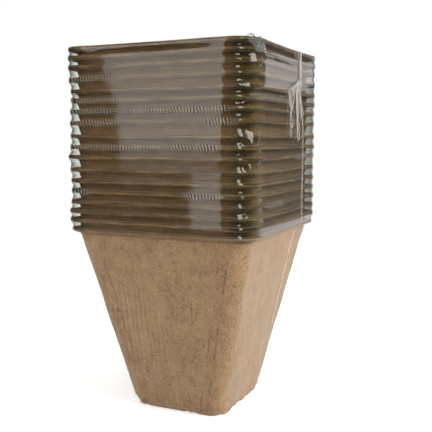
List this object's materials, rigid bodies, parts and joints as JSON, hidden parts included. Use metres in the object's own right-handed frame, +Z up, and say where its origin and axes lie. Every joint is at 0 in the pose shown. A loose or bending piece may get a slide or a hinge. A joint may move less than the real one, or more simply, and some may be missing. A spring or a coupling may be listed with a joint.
{
  "type": "nested peat pot stack",
  "caption": "Tapered square moulded-peat plant pots with flat rims, nested mouth up in a clear shrink-film sleeve. The top pot is open, and the lowest stands on its flat base.",
  "frame": {"origin": "middle of the lowest pot's flat base, on the surface it stands on", "axes": "+Z up the stack, towards the open mouth of the top pot; X and Y square to the pots' walls, with the film's weld on the +X side"},
  "size_m": [0.0859, 0.0858, 0.1544],
  "materials": {
    "peat_fibre": "matte",
    "clear_film": "gloss"
  },
  "bodies": {
    "root": {"pot_01": "peat_fibre", "pot_02": "peat_fibre", "pot_03": "peat_fibre", "pot_04": "peat_fibre", "pot_05": "peat_fibre", "pot_06": "peat_fibre", "pot_07": "peat_fibre", "pot_08": "peat_fibre", "pot_09": "peat_fibre", "pot_10": "peat_fibre", "pot_11": "peat_fibre", "pot_12": "peat_fibre", "pot_13": "peat_fibre", "pot_14": "peat_fibre", "pot_15": "peat_fibre", "pot_16": "peat_fibre", "pot_17": "peat_fibre", "pot_18": "peat_fibre", "film_sleeve": "clear_film"}
  },
  "joints": []
}
